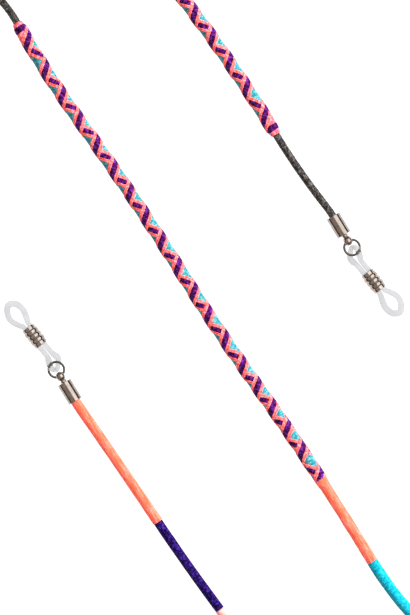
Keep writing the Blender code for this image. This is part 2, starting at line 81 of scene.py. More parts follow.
# Stretches of the hand-laid cord: (length, turn). Positive turns are anticlockwise.
LEFT_CORAL = ((3.0, 3.4), (33.6, -0.9))
LEFT_PURPLE = ((26.8, 2.8),)
MIDDLE_CORD = ((6.8, 12.0),)
MIDDLE_WOVEN = ((30.0, 6.2), (45.0, -3.8), (35.0, 3.6), (27.4, -2.6))
MIDDLE_CORAL = ((24.0, -1.5),)
MIDDLE_TEAL = ((15.5, 10.0),)
RIGHT_CORD = ((3.0, 6.9), (21.85, -6.9))
RIGHT_WOVEN = ((20.45, 2.8), (22.0, 3.6))
HIDDEN_WOVEN = 0.62       # share of the gentle arc of the upper bend that is woven

# Radii, out to the crests of the threads.
CORE_R = 1.0
CORAL_LEFT_R = 1.3
PURPLE_R = 1.22
PINK_R = 1.3
TEAL_R = 1.48
CORAL_MIDDLE_R = 1.45
WOVEN_BASE_R = 1.62
WOVEN_R = 1.78

# -------------------- the cord's middle line


def direction(heading):
    angle = math.radians(heading)
    return Vector((math.sin(angle), -math.cos(angle)))


def chord(heading, length, turn):
    """The straight line from the start of an arc to its end."""
    half = math.radians(turn) / 2
    shrink = math.sin(half) / half if abs(half) > 1e-9 else 1.0
    return direction(heading + turn / 2) * length * shrink


def follow(point, heading, stretches):
    """Where a run of stretches ends, and its heading there."""
    for length, turn in stretches:
        point = point + chord(heading, length, turn)
        heading += turn
    return point, heading


def reversed_run(stretches):
    """The same run of stretches, walked from its other end."""
    return tuple((length, -turn) for length, turn in reversed(stretches))


def run_length(stretches):
    return sum(length for length, _ in stretches)


def signed_angle(first, second):
    return math.atan2(first.cross(second), first.dot(second))


def arc_on(line, half):
    """The arc (length, turn) whose ends a line joins, given the angle between line and tangent."""
    return line.length * half / math.sin(half), math.degrees(2 * half)


def hairpin(start, start_heading, end, end_heading):
    """Two arcs that leave one point, arrive at the other and join smoothly between them."""
    leave, arrive = direction(start_heading), direction(end_heading)
    span = end - start
    sweep = span.dot(leave + arrive)
    spread = 2 * (1 - leave.dot(arrive))
    reach = (math.sqrt(sweep**2 + spread * span.length_squared) - sweep) / spread
    middle = (start + leave * reach + end - arrive * reach) / 2
    first, second = middle - start, end - middle
    return (
        arc_on(first, signed_angle(leave, first)),
        arc_on(second, signed_angle(second, arrive)),
    )


class Centreline:
    """The cord from the left ferrule's mouth to the right one's, sampled finely in the frame."""

    STEP = 0.25
    LEAD = 5.0            # straight line past each mouth, for what goes into the ferrules

    def __init__(self, centre):
        mouth = Vector(END_TIP) - direction(END_HEADING) * FERRULE_LENGTH
        left = LEFT_CORAL + LEFT_PURPLE
        right = RIGHT_CORD + RIGHT_WOVEN
        middle = MIDDLE_WOVEN + MIDDLE_CORAL + MIDDLE_TEAL
        top = Vector(MIDDLE_TOP)
        foot, foot_heading = follow(top, MIDDLE_HEADING, middle)
        left_end, left_heading = follow(-mouth, END_HEADING, left)
        middle_end, end_heading = follow(top, MIDDLE_HEADING + 180, MIDDLE_CORD)
        right_end, right_heading = follow(mouth, END_HEADING + 180, right)
        lower = hairpin(left_end, left_heading, foot, foot_heading + 180)
        upper = hairpin(middle_end, end_heading, right_end, right_heading + 180)
        stretches = left + lower + reversed_run(middle) + MIDDLE_CORD + upper + reversed_run(right)
        self.mark_places(lower, upper)
        self.sample(-mouth, stretches, centre)

    def mark_places(self, lower, upper):
        """Distances along the cord where one covering gives way to the next."""
        self.coral_left_end = run_length(LEFT_CORAL)
        self.purple_end = self.coral_left_end + run_length(LEFT_PURPLE)
        self.bend_middle = self.purple_end + lower[0][0]
        self.teal_end = self.bend_middle + lower[1][0] + run_length(MIDDLE_TEAL)
        self.woven_start = self.teal_end + run_length(MIDDLE_CORAL)
        self.woven_end = self.woven_start + run_length(MIDDLE_WOVEN)
        upper_start = self.woven_end + run_length(MIDDLE_CORD)
        upper_end = upper_start + upper[0][0] + upper[1][0]
        self.short_start = upper_end - upper[1][0] * HIDDEN_WOVEN
        self.short_end = upper_end + run_length(RIGHT_WOVEN)
        self.length = self.short_end + run_length(RIGHT_CORD)
        self.flex = {
            "left_strand_flex": self.coral_left_end,
            "lower_bend_flex": self.bend_middle,
            "lower_strand_flex": self.woven_start,
            "upper_bend_flex": self.woven_end + 4.5,
            "short_strand_flex": self.short_start - 3.5,
            "right_strand_flex": self.short_end + 4.0,
        }
        self.heights = (
            (-CORD_INSERT, AXIS_HEIGHT),
            (0.0, AXIS_HEIGHT),
            (14.0, CORAL_LEFT_R),
            (self.coral_left_end, CORAL_LEFT_R),
            (self.purple_end, PINK_R),
            (self.bend_middle - 10, PINK_R),
            (self.bend_middle + 6, TEAL_R),
            (self.woven_start - 10, TEAL_R),
            (self.woven_start + 3, WOVEN_R),
            (self.woven_end, WOVEN_R),
            (self.woven_end + 18, CORE_R + 0.02),
            (self.short_start - 14, CORE_R + 0.02),
            (self.short_start + 3, WOVEN_R),
            (self.short_end, WOVEN_R),
            (self.length - 2, AXIS_HEIGHT),
            (self.length + CORD_INSERT, AXIS_HEIGHT),
        )

    def height(self, at):
        """Height of the middle line, eased between the listed places."""
        places, heights = np.array(self.heights).T
        index = np.clip(np.searchsorted(places, at) - 1, 0, len(places) - 2)
        share = np.clip((at - places[index]) / (places[index + 1] - places[index]), 0, 1)
        rise = heights[index + 1] - heights[index]
        return heights[index] + rise * share * share * (3 - 2 * share)

    def sample(self, start, stretches, centre):
        spot, heading = start - direction(END_HEADING) * self.LEAD, END_HEADING
        at, spots = [-self.LEAD], [tuple(spot)]
        for length, turn in ((self.LEAD, 0.0), *stretches, (self.LEAD, 0.0)):
            steps = math.ceil(length / self.STEP)
            for _ in range(steps):
                spot = spot + chord(heading, length / steps, turn / steps)
                heading += turn / steps
                at.append(at[-1] + length / steps)
                spots.append(tuple(spot))
        self.at = np.array(at)
        flat = np.array(spots) + np.array(centre[:2])
        height = self.height(self.at) + centre[2] - AXIS_HEIGHT
        self.spots = np.column_stack((flat, height))
        self.slopes = np.gradient(self.spots, self.at, axis=0)

    def centres(self, at):
        return np.stack([np.interp(at, self.at, axis) for axis in self.spots.T], axis=-1)

    def frames(self, at):
        """Middle points, left-hand normals and upward normals at distances along the cord."""
        slope = np.stack([np.interp(at, self.at, axis) for axis in self.slopes.T], axis=-1)
        slope /= np.linalg.norm(slope, axis=-1, keepdims=True)
        left = np.stack([-slope[..., 1], slope[..., 0], np.zeros(slope.shape[:-1])], axis=-1)
        left /= np.linalg.norm(left, axis=-1, keepdims=True)
        return self.centres(at), left, np.cross(slope, left)

    def skin(self, at, angle, radius):
        """Points at a distance, an angle from the top towards the left, and a radius."""
        centre, left, up = self.frames(at)
        outward = left * np.sin(angle)[..., None] + up * np.cos(angle)[..., None]
        return centre + outward * radius[..., None]


# -------------------- meshes


def make_piece(name, vertices, faces, uv, material):
    """A smooth mesh object in the frame from millimetre points, with its thread coordinates."""
    mesh = bpy.data.meshes.new(name)
    mesh.from_pydata((vertices * MM).tolist(), [], faces)
    layer = mesh.uv_layers.new(name="thread")
    layer.data.foreach_set("uv", np.asarray(uv, np.float32).ravel())
    mesh.polygons.foreach_set("use_smooth", [True] * len(mesh.polygons))
    mesh.set_sharp_from_angle(angle=math.radians(60))
    mesh.materials.append(material)
    mesh.update()
    piece = bpy.data.objects.new(name, mesh)
    bpy.context.scene.collection.objects.link(piece)
    return piece


class Shell:
    """Closed skins of quads, gathered into one mesh."""

    def __init__(self):
        self.vertices, self.faces, self.uv, self.count = [], [], [], 0

    def add(self, rings, across, along, looped=False):
        """Rings of points, with the thread coordinate across of each ring and along of each side.

        A looped skin runs back into its first ring. Any other is closed with a cap at each end.
        """
        rows, sides = rings.shape[:2]
        across = np.broadcast_to(across, (rows,)) if np.ndim(across) < 2 else across
        i = np.arange(rows if looped else rows - 1)[:, None]
        j = np.arange(sides)[None, :]
        here, there = i * sides, (i + 1) % rows * sides
        step = (j + 1) % sides
        quads = np.stack([here + j, there + j, there + step, here + step], axis=-1)
        self.faces += (quads.reshape(-1, 4) + self.count).tolist()
        u = np.concatenate([across, across[:1]])
        v = np.asarray(along, float)
        corners_u = np.stack([u[i] + 0 * j, u[i + 1] + 0 * j] * 2, axis=-1)[..., [0, 1, 3, 2]]
        corners_v = np.stack([v[j] + 0 * i] * 2 + [v[j + 1] + 0 * i] * 2, axis=-1)
        self.uv.append(np.stack([corners_u, corners_v], axis=-1).reshape(-1, 2))
        if not looped:
            first = np.arange(sides)
            last = (rows - 1) * sides + first[::-1]
            self.faces += [(first + self.count).tolist(), (last + self.count).tolist()]
            self.uv.append(np.zeros((2 * sides, 2)))
        self.vertices.append(rings.reshape(-1, 3))
        self.count += rows * sides

    def piece(self, name, material):
        vertices, uv = np.concatenate(self.vertices), np.concatenate(self.uv)
        return make_piece(name, vertices, self.faces, uv, material)


def wander(at, seed, every, size):
    """Smooth random drift along the cord, with a new value every few millimetres."""
    knots = np.random.default_rng(seed).uniform(-size, size, 1024)
    place = np.asarray(at) / every + 64
    index = np.floor(place).astype(int)
    share = place - index
    share = share * share * (3 - 2 * share)
    return knots[index % 1024] * (1 - share) + knots[(index + 1) % 1024] * share


def smoothstep(low, high, value):
    share = np.clip((value - low) / (high - low), 0, 1)
    return share * share * (3 - 2 * share)


def thread_crest(phase):
    """Height across one thread, from 0 in the groove to 1 on its back."""
    across = 2 * (phase - np.floor(phase)) - 1
    return np.sqrt(np.maximum(1 - across * across, 0))


# -------------------- windings and cord


class Winding:
    """Thread wound round the cord. Its grooves are cut in the skin, turn beside turn."""

    ROWS_PER_THREAD = 5
    INNER_STEP = 1.5
    TUCK = 0.12           # how far the end turns are drawn in
    BORE_R = CORE_R + 0.03
    THINNEST = 0.07

    def __init__(self, thread, depth, starts=1, hand=1, sides=24, lumps=0.03, seed=1):
        self.thread, self.depth, self.starts, self.hand = thread, depth, starts, hand
        self.sides, self.lumps, self.seed = sides, lumps, seed

    def add(self, shell, line, first, last, radius):
        """A sleeve from first to last. radius(at) is its outer radius, its bore clears the cord."""
        rows = max(4, math.ceil((last - first) / self.thread * self.ROWS_PER_THREAD))
        at = np.linspace(first, last, rows + 1)[:, None]
        angle = np.linspace(0, TURN, self.sides, endpoint=False)[None, :]
        slip = wander(at, self.seed, 1.3, 0.22) + wander(at, self.seed + 1, 0.5, 0.1)
        phase = at / self.thread + self.hand * self.starts * angle / TURN + slip
        swell = wander(at, self.seed + 2, 3.1, self.lumps)
        swell = swell + wander(at + angle, self.seed + 3, 1.1, self.lumps / 2)
        tuck = np.minimum(at - first, last - at) / (self.thread * 0.6)
        tuck = 1 - np.sqrt(np.clip(tuck * (2 - tuck), 0, 1)) * (tuck < 1) - (tuck >= 1)
        outer = radius(at) + swell - self.depth * (1 - thread_crest(phase)) - self.TUCK * tuck
        outer = np.maximum(outer, self.BORE_R + self.THINNEST)
        inner_at = np.linspace(last, first, max(2, math.ceil((last - first) / self.INNER_STEP)))
        inner_at = inner_at[:, None]
        inner = np.full((len(inner_at), self.sides), self.BORE_R)
        rings = np.concatenate([
            line.skin(at + 0 * angle, angle + 0 * at, outer),
            line.skin(inner_at + 0 * angle, angle + 0 * inner_at, inner),
        ])
        across = np.concatenate([at[:, 0], inner_at[:, 0]])
        along = np.linspace(0, TURN * 1.4, self.sides + 1)
        shell.add(rings, across, along, looped=True)


class Braid:
    """Bare waxed cord: strands that go round both ways, over and under each other."""

    CARRIERS = 7          # strands each way
    SLANT = 3.1           # how fast a strand turns about the axis, in strands per millimetre
    DEPTH = 0.1
    SIDES = 42
    FINE_STEP = 0.12
    HIDDEN_STEP = 1.5

    def relief(self, at, angle):
        one = self.CARRIERS * angle + self.SLANT * at
        other = self.CARRIERS * angle - self.SLANT * at
        over = (np.floor(one / TURN + 0.5) + np.floor(other / TURN + 0.5)) % 2 < 0.5
        ridge = np.cos(one / 2) ** 2 * np.sqrt(np.abs(np.cos(other / 2)))
        crossing = np.cos(other / 2) ** 2 * np.sqrt(np.abs(np.cos(one / 2)))
        return np.where(over, ridge, crossing)

    def piece(self, line, name, first, last, bare, material):
        """The cord from first to last, in full detail over its bare stretches only."""
        places = [np.arange(first, last, self.HIDDEN_STEP), [last]]
        for start, end in bare:
            places.append(np.arange(max(start, first), min(end, last), self.FINE_STEP))
        at = np.unique(np.concatenate(places).round(3))
        at = at[np.concatenate([[True], np.diff(at) > self.FINE_STEP / 3])][:, None]
        at[-1] = last
        angle = np.linspace(0, TURN, self.SIDES, endpoint=False)[None, :]
        shown = np.zeros_like(at)
        for start, end in bare:
            shown = np.maximum(shown, smoothstep(start - 1.2, start, at) * smoothstep(end + 1.2, end, at))
        radius = CORE_R - self.DEPTH * (1 - self.relief(at, angle)) * shown
        radius = radius - 0.04 * (1 - shown) + wander(at, 71, 2.3, 0.015)
        shell = Shell()
        rings = line.skin(at + 0 * angle, angle + 0 * at, radius)
        shell.add(rings, at[:, 0], np.linspace(0, TURN, self.SIDES + 1))
        return shell.piece(name, material)


# -------------------- woven lengths


class Weave:
    """Two ribbons that cross each other round a teal base, each purple between coral edges.

    Distances are measured from the edge of the bare cord inwards, against the cord's own
    direction. Angles are measured from the top, away from the cord's left. Both are wound by
    hand, so their pitches drift and the crossings wander round.
    """

    # First crossing of the top line, then stretches of even pitch: (turns, length).
    OVER = (5.4, ((1, 8.6), (4, 30.0), (2, 14.1), (3, 22.5), (1, 6.5), (2, 15.5), (4, 25.7), (1, 8.4)))
    UNDER = (8.4, ((1, 8.8), (4, 30.3), (4, 30.2), (2, 14.2), (1, 7.9), (4, 27.2), (1, 8.1)))
    EASE = 1.5                # half the length over which one pitch becomes the next
    HANDS = {OVER: -1, UNDER: 1}
    BEGINS = {OVER: 2.7, UNDER: 4.6}
    STRAIGHTER = {OVER: 0.05, UNDER: 0.45}
    PURPLE = {OVER: 1.46, UNDER: 1.2}
    CORAL = {OVER: 0.88, UNDER: 0.82}
    THREAD = {"purple": 0.28, "coral": 0.42}
    GROOVE = {"purple": 0.06, "coral": 0.1}
    BOTTOM_R = 1.42
    LIE_R = 1.75
    CEILING_R = WOVEN_R + 0.04
    FLOOR_R = 1.48            # the far ends sink to here, under the coral winding
    OVERRUN = 0.8             # how far those ends run on below it
    LIFT = 0.1
    RISE_OVER_EDGE = 0.4
    STEP = 0.28
    TYPICAL_PLACE = 70.0      # where the pitch is the usual one

    def __init__(self, line, edge, last):
        self.line, self.edge, self.last = line, edge, last

    def turns(self, ribbon, at):
        """Turns that a ribbon has made at a distance, counted from its first crossing of the top."""
        first, stretches = ribbon
        turns, lengths = np.array(stretches, float).T
        counts = np.concatenate([[-3, 0], np.cumsum(turns), [turns.sum() + 3]])
        ends = first + np.cumsum(lengths)
        before, after = 3 * lengths[0] / turns[0], 3 * lengths[-1] / turns[-1]
        places = np.concatenate([[first - before, first], ends, [ends[-1] + after]])
        return (np.interp(at - self.EASE, places, counts) + np.interp(at + self.EASE, places, counts)) / 2

    def angle(self, ribbon, at):
        """Angle at a distance. A ribbon runs a little straighter over the top than below."""
        even = self.HANDS[ribbon] * TURN * self.turns(ribbon, at)
        return even - self.STRAIGHTER[ribbon] * np.sin(even)

    def slope(self, ribbon, at):
        """Unit vector along the ribbon on the unrolled cylinder: along the cord, round it."""
        rate = (self.angle(ribbon, at + 0.01) - self.angle(ribbon, at - 0.01)) / 0.02
        length = np.sqrt(1 + (rate * self.LIE_R) ** 2)
        return 1 / length, rate * self.LIE_R / length

    def lift(self, at, angle):
        """How far the top ribbon stands up to clear the other one below it."""
        gap = angle - self.angle(self.UNDER, at)
        gap = np.abs((gap + math.pi) % TURN - math.pi) * self.LIE_R
        clear = gap * self.slope(self.UNDER, at)[0]
        half = self.PURPLE[self.UNDER] / 2 + self.CORAL[self.UNDER]
        return self.LIFT * (1 - smoothstep(half - 0.1, half + self.RISE_OVER_EDGE, clear))

    def add_band(self, shell, ribbon, low, high, colour):
        """One band of parallel threads, between two distances from the ribbon's middle."""
        begin = self.BEGINS[ribbon]
        along_cord = float(self.slope(ribbon, np.array(self.TYPICAL_PLACE))[0])
        rows = math.ceil((self.last - begin) / (self.STEP * along_cord))
        middle = np.linspace(begin, self.last, rows)[:, None]
        threads = max(1, round((high - low) / self.THREAD[colour]))
        top = np.linspace(low, high, threads * 4 + 1)
        under = np.linspace(high, low, threads + 1)
        offset = np.concatenate([top, under])[None, :]
        crest = thread_crest((top - low) / (high - low) * threads)
        ahead, sideways = self.slope(ribbon, middle)
        at = middle - offset * sideways
        angle = self.angle(ribbon, middle) + offset * ahead / self.LIE_R
        lift = self.lift(at, angle) if ribbon is self.OVER else 0 * at
        wobble = wander(middle, 31, 1.7, 0.02)
        crests = self.LIE_R - self.GROOVE[colour] * (1 - crest)
        height = np.concatenate([crests, np.zeros(len(under))])
        radius = height[None, :] + lift + wobble
        sunk = smoothstep(-0.9, 0.0, at - self.last + self.OVERRUN)
        radius = np.minimum(radius, self.CEILING_R - (self.CEILING_R - self.FLOOR_R) * sunk)
        radius[:, len(top):] = (self.BOTTOM_R + lift * 0.5)[:, len(top):]
        length = np.cumsum(np.full(rows, self.STEP))
        rings = self.line.skin(self.edge - at, -angle, radius)
        shell.add(rings, length, np.concatenate([offset[0], offset[0][:1]]))

    def piece(self, name, colour, material):
        """Every band of one colour on both ribbons."""
        shell = Shell()
        for ribbon in (self.UNDER, self.OVER):
            half = self.PURPLE[ribbon] / 2
            edge = half + self.CORAL[ribbon]
            bands = ((-half, half),) if colour == "purple" else ((-edge, -half), (half, edge))
            for low, high in bands:
                self.add_band(shell, ribbon, low, high, colour)
        return shell.piece(name, material)


# -------------------- materials


class Look:
    """One procedural material under construction, with short calls for its nodes."""

    def __init__(self, name, **values):
        self.material = bpy.data.materials.new(name)
        self.material.use_nodes = True
        self.tree = self.material.node_tree
        self.shader = self.tree.nodes["Principled BSDF"]
        for socket, value in values.items():
            self.shader.inputs[socket.replace("_", " ")].default_value = value

    def node(self, kind, inputs=(), **settings):
        made = self.tree.nodes.new(kind)
        for setting, value in settings.items():
            setattr(made, setting, value)
        for socket, value in dict(inputs).items():
            if isinstance(value, bpy.types.NodeSocket):
                self.tree.links.new(value, made.inputs[socket])
            else:
                made.inputs[socket].default_value = value
        return made

    def stretched(self, source, scale, turn=0.0):
        """The coordinates scaled, and turned about their Z."""
        made = self.node(
            "ShaderNodeMapping",
            {"Vector": source, "Scale": scale, "Rotation": (0, 0, math.radians(turn))},
        )
        return made.outputs["Vector"]

    def noise(self, vector, detail=3.0, roughness=0.6):
        made = self.node(
            "ShaderNodeTexNoise",
            {"Vector": vector, "Scale": 1.0, "Detail": detail, "Roughness": roughness},
        )
        return made.outputs["Fac"]

    def mixed(self, first, second, share):
        """Two values blended, with the given share of the second."""
        made = self.node("ShaderNodeMix", {0: share, 2: first, 3: second})
        return made.outputs[0]

    def ramp(self, value, stops):
        """A colour ramp from (place, colour) pairs."""
        made = self.node("ShaderNodeValToRGB", {"Fac": value})
        points = made.color_ramp.elements
        while len(points) < len(stops):
            points.new(0.5)
        for point, (place, colour) in zip(points, stops):
            point.position = place
            point.color = (*colour, 1.0)
        return made.outputs["Color"]

    def spread(self, value, low, high):
        """A noise value, which keeps to the middle, spread over a range."""
        made = self.node(
            "ShaderNodeMapRange", {"Value": value, 1: 0.3, 2: 0.7, 3: low, 4: high}
        )
        return made.outputs["Result"]

    def into(self, socket, value):
        self.tree.links.new(value, self.shader.inputs[socket])

    def bump(self, height, distance, strength=1.0):
        made = self.node(
            "ShaderNodeBump", {"Height": height, "Distance": distance * MM, "Strength": strength}
        )
        self.into("Normal", made.outputs["Normal"])


def thread_look(name, dark, plain, light, fuzz=0.06, patch=(1.6, 0.9)):
    """Stranded thread: streaks along its fibres, mottled patches and a soft gloss."""
    look = Look(name, IOR=1.12 + fuzz, Sheen_Weight=fuzz, Sheen_Roughness=0.4)
    thread = look.node("ShaderNodeUVMap", uv_map="thread").outputs["UV"]
    fibres = look.noise(look.stretched(thread, (8.0, 1.1, 1.0)))
    patches = look.noise(look.stretched(thread, (*patch, 1.0)), detail=2.0)
    stops = ((0.41, dark), (0.5, plain), (0.6, light))
    look.into("Base Color", look.ramp(look.mixed(patches, fibres, 0.38), stops))
    look.into("Roughness", look.spread(fibres, 0.43, 0.67))
    twist = look.node(
        "ShaderNodeTexWave",
        {"Vector": look.stretched(thread, (3.2, 3.2, 1.0), 35), "Scale": 1.0, "Distortion": 1.5},
    )
    grain = look.node("ShaderNodeMath", {0: twist.outputs["Fac"], 1: fibres}, operation="ADD")
    look.bump(grain.outputs[0], 0.03, 0.7)
    return look.material


# Each thread's material name, its dark, plain and light colours, and its fuzz and patches.
THREAD_LOOKS = {
    "coral": (
        "coral_thread", (0.84, 0.085, 0.035), (0.95, 0.116, 0.062), (1.0, 0.21, 0.165), 0.2,
        (0.25, 1.3),
    ),
    "edge": (
        "coral_edge_thread", (0.66, 0.055, 0.05), (0.86, 0.118, 0.108), (0.95, 0.26, 0.27), 0.1,
    ),
    "whip": ("coral_whip_thread", (0.6, 0.045, 0.08), (0.88, 0.11, 0.14), (0.97, 0.28, 0.24)),
    "purple": (
        "purple_thread", (0.002, 0.001, 0.018), (0.007, 0.002, 0.05), (0.045, 0.014, 0.2), 0.0,
    ),
    "ribbon": (
        "purple_ribbon_thread", (0.014, 0.001, 0.013), (0.035, 0.003, 0.052), (0.125, 0.019, 0.24),
        0.0,
    ),
    "teal": ("teal_thread", (0.0, 0.18, 0.255), (0.001, 0.26, 0.36), (0.02, 0.38, 0.47)),
    "base": (
        "teal_base_thread", (0.006, 0.125, 0.155), (0.03, 0.19, 0.225), (0.13, 0.31, 0.33),
    ),
    "pink": ("pink_thread", (0.62, 0.24, 0.21), (0.72, 0.33, 0.29), (0.8, 0.43, 0.38)),
}


def cord_look():
    """Waxed charcoal braid, flecked pale: the flecks are partly worn wax and partly painted glints."""
    look = Look("waxed_cord", IOR=1.35)
    thread = look.node("ShaderNodeUVMap", uv_map="thread").outputs["UV"]
    strands = look.noise(look.stretched(thread, (4.2, 4.6, 1.0), 40), detail=3.0, roughness=0.65)
    wax_and_glint_patches = look.noise(look.stretched(thread, (0.9, 1.3, 1.0)), detail=2.0)
    # The pale top stop is partly worn wax and partly painted glints off the strand backs.
    stops = (
        (0.42, (0.004, 0.003, 0.003)),
        (0.52, (0.012, 0.01, 0.0095)),
        (0.6, (0.13, 0.12, 0.115)),
    )
    look.into("Base Color", look.ramp(look.mixed(wax_and_glint_patches, strands, 0.65), stops))
    look.into("Roughness", look.spread(strands, 0.26, 0.5))
    look.bump(strands, 0.03, 0.8)
    return look.material


METAL_TINT = (1.0, 0.88, 0.79)


def metal_look(name, tone, roughness):
    """Black-nickel plate: warm grey, with fine polishing lines and dulled patches."""
    look = Look(name, Metallic=1.0)
    place = look.node("ShaderNodeTexCoord").outputs["Object"]
    cloud = look.noise(look.stretched(place, (900, 900, 900)), detail=3.0)
    dull, plain, bright = ([tone * part * tint for tint in METAL_TINT] for part in (0.82, 1.0, 1.16))
    look.into("Base Color", look.ramp(cloud, ((0.35, dull), (0.5, plain), (0.65, bright))))
    look.into("Roughness", look.spread(cloud, roughness - 0.03, roughness + 0.03))
    thread = look.node("ShaderNodeUVMap", uv_map="thread").outputs["UV"]
    lines = look.noise(look.stretched(thread, (14.0, 0.6, 1.0)), detail=2.0)
    look.bump(lines, 0.004, 0.5)
    return look.material


def silicone_look():
    """Clear moulded silicone, a little cloudy, with a satin skin."""
    look = Look("clear_silicone", Transmission_Weight=0.97, IOR=1.32)
    place = look.node("ShaderNodeTexCoord").outputs["Object"]
    cloud = look.noise(look.stretched(place, (450, 450, 450)), detail=2.0)
    stops = ((0.3, (0.51, 0.515, 0.53)), (0.7, (0.58, 0.58, 0.59)))
    look.into("Base Color", look.ramp(cloud, stops))
    look.into("Roughness", look.spread(cloud, 0.34, 0.46))
    look.bump(cloud, 0.02, 0.4)
    return look.material


def floor_look():
    """Pale table that glows a little, so that it stays bright right up to the strap."""
    look = Look("pale_table", Roughness=0.9, Emission_Strength=FLOOR_GLOW)
    look.shader.inputs["Emission Color"].default_value = (1.0, 1.0, 1.0, 1.0)
    place = look.node("ShaderNodeTexCoord").outputs["Object"]
    grain = look.noise(look.stretched(place, (60, 60, 60)), detail=2.0)
    stops = ((0.3, (FLOOR_ALBEDO,) * 3), (0.7, (FLOOR_ALBEDO + 0.01,) * 3))
    look.into("Base Color", look.ramp(grain, stops))
    return look.material


# -------------------- connectors

FERRULE_R = 1.85
FERRULE_BORE_R = 1.46
FERRULE_END_WALL = 0.5
FERRULE_HOLE_R = 0.52
EDGE = 0.12

BALL_R = 1.225
NECK_R = 0.62
COLLAR_R = 0.8
COLLAR_LENGTH = 0.42
STEM_R = 0.44
RIVET_R = 0.9
RIVET_LENGTH = 0.4
RUNNING_GAP = 0.06
EYE_HOLE_R = 0.42

RING_R = 1.95
RING_WIRE_R = 0.3
RING_SPLIT = 1.6          # degrees
RING_SPLIT_AT = 62.0

BEAD_LENGTH = 5.5
BEAD_ACROSS = -1.05
BEAD_BORE_R = 1.53
BEAD_COLLAR_R = 1.74
BEAD_COLLAR_LENGTH = 0.95
BEAD_RIB_R = 1.95
BEAD_GROOVE_R = 1.66
BEAD_RIBS = 3

BAND_HALF_WIDTH = 0.8
BAND_HALF_HEIGHT = 0.75
BAND_STEPS = 10
BAND_SIDES = 28
BAND_CORNERS = 0.62       # 1 makes the section an ellipse, 0 a rectangle

# Control points of the temple loop's middle line: (along, across the bead's axis, height, size).
LOOP_TIP_SIDE = (
    (12.9, 0.74, 0.0, 0.86),
    (14.6, 1.45, 0.0, 0.92),
    (16.6, 2.2, 0.0, 0.95),
    (18.6, 1.75, 0.0, 1.0),
    (20.05, 0.25, 0.0, 1.05),
    (19.2, -1.35, 0.0, 1.05),
    (17.1, -1.9, 0.0, 1.05),
    (14.9, -1.35, 0.0, 1.0),
    (12.9, -0.74, 0.0, 0.86),
)
LOOP_RING_SIDE = (
    (7.3, -0.74, 0.0, 0.86),
    (5.4, -0.74, 0.0, 0.86),
    (3.9, -0.77, -0.03, 0.88),
    (2.7, -1.04, -0.6, 1.06),
    (1.75, -0.98, -1.1, 0.96),
    (0.95, -0.2, -1.06, 0.84),
    (0.35, 0.4, -0.62, 0.8),
    (0.05, 0.97, 0.0, 0.8),
    (0.35, 1.5, 0.62, 0.8),
    (1.0, 1.68, 1.04, 0.84),
    (1.95, 1.55, 1.1, 0.96),
    (2.9, 1.14, 0.6, 1.04),
    (3.9, 0.78, 0.03, 0.88),
    (5.4, 0.74, 0.0, 0.86),
    (7.3, 0.74, 0.0, 0.86),
)


def rounded(profile, radius, steps=4):
    """The profile with each corner rounded off. Very short sides are left alone."""
    count, smooth = len(profile), []
    for i, corner in enumerate(profile):
        here = np.array(corner, float)
        before = np.array(profile[i - 1], float) - here
        after = np.array(profile[(i + 1) % count], float) - here
        cut = min(radius, np.linalg.norm(before) * 0.45, np.linalg.norm(after) * 0.45)
        start = here + before / np.linalg.norm(before) * cut
        end = here + after / np.linalg.norm(after) * cut
        for share in np.linspace(0, 1, steps + 1):
            smooth.append(start * (1 - share) ** 2 + here * 2 * share * (1 - share) + end * share**2)
    return np.array(smooth)


def lathe(shell, profile, sides, looped):
    """Turn (radius, along) points about the x axis. They run so that the skin faces outwards."""
    radius, along = profile[:, 0:1], profile[:, 1:2]
    angle = np.linspace(0, TURN, sides, endpoint=False)[None, :]
    x = along + 0 * angle
    rings = np.stack([x, radius * np.sin(angle), radius * np.cos(angle)], axis=-1)
    length = np.concatenate([[0], np.cumsum(np.linalg.norm(np.diff(profile, axis=0), axis=1))])
    shell.add(rings, length, np.linspace(0, TURN * 1.5, sides + 1), looped)


def ferrule_cup(name, material):
    """Cup with its closed end at x = 0 and its mouth on the left of it."""
    mouth = -FERRULE_LENGTH
    profile = [
        (FERRULE_BORE_R, mouth),
        (FERRULE_R, mouth),
        (FERRULE_R, 0),
        (FERRULE_HOLE_R, 0),
        (FERRULE_HOLE_R, -FERRULE_END_WALL),
        (FERRULE_BORE_R, -FERRULE_END_WALL),
    ]
    shell = Shell()
    lathe(shell, rounded(profile, EDGE), 72, looped=True)
    return shell.piece(name, material)


def ball_eye(name, material):
    """Ball on a collared stem, headed over inside the ferrule. The ball's centre is the origin."""
    neck = math.pi - math.asin(NECK_R / BALL_R)
    back = -BALL_OFFSET + RUNNING_GAP
    rivet = -BALL_OFFSET - FERRULE_END_WALL - RUNNING_GAP
    stem = [
        (0.02, rivet - RIVET_LENGTH),
        (RIVET_R, rivet - RIVET_LENGTH),
        (RIVET_R, rivet),
        (STEM_R, rivet),
        (STEM_R, back),
        (COLLAR_R, back),
        (COLLAR_R, back + COLLAR_LENGTH),
        (NECK_R * 0.8, back + COLLAR_LENGTH),
    ]
    stem = rounded(stem, 0.06)[5:-5]
    first = np.array([[0.02, rivet - RIVET_LENGTH]])
    angles = np.linspace(neck, 0.03, 40)
    ball = np.column_stack((BALL_R * np.sin(angles), BALL_R * np.cos(angles)))
    shell = Shell()
    lathe(shell, np.concatenate([first, stem, ball]), 56, looped=False)
    piece = shell.piece(name, material)
    return cut_hole(piece, eye_drill(material))


def eye_drill(material):
    """Flared drill along y for the ball's cross hole, so that the ring's wire can rock in it."""
    reach = np.linspace(-BALL_R - 0.2, BALL_R + 0.2, 25)
    flare = EYE_HOLE_R + RING_R - np.sqrt(RING_R**2 - reach**2)
    shell = Shell()
    lathe(shell, np.column_stack((flare, reach)), 40, looped=False)
    drill = shell.piece("eye_drill", material)
    drill.data.transform(Matrix.Rotation(math.pi / 2, 4, "Z"))
    return drill


